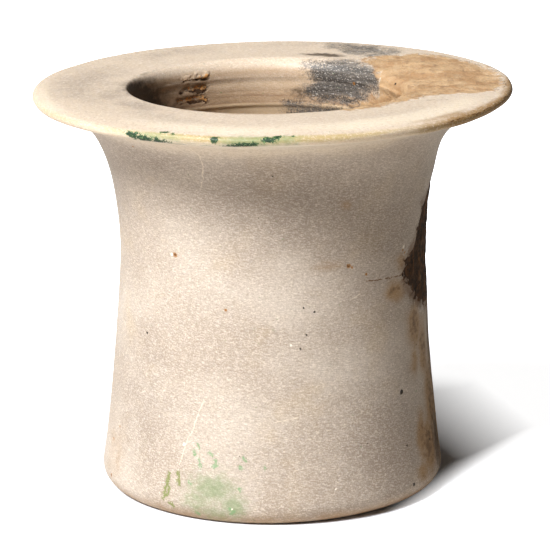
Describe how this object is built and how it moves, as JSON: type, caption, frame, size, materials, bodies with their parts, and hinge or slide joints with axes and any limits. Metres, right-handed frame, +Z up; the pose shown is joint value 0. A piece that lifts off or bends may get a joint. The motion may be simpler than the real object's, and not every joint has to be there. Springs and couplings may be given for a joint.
{
  "type": "alabaster pot",
  "caption": "Ancient carved alabaster pot with a concave body, a wide flat everted rim and a drilled cylindrical bore, stained and worn as found.",
  "frame": {"origin": "centre of the flat underside, on the surface the pot stands on", "axes": "+Z up along the bore, -Y towards the side that carries the green stains under the rim, +X towards the flaked side"},
  "size_m": [0.1408, 0.1408, 0.1211],
  "materials": {
    "alabaster": "ground calcite, dull polish, with earth crust, grey and green stains"
  },
  "bodies": {
    "root": {"alabaster_pot": "alabaster"}
  },
  "joints": []
}
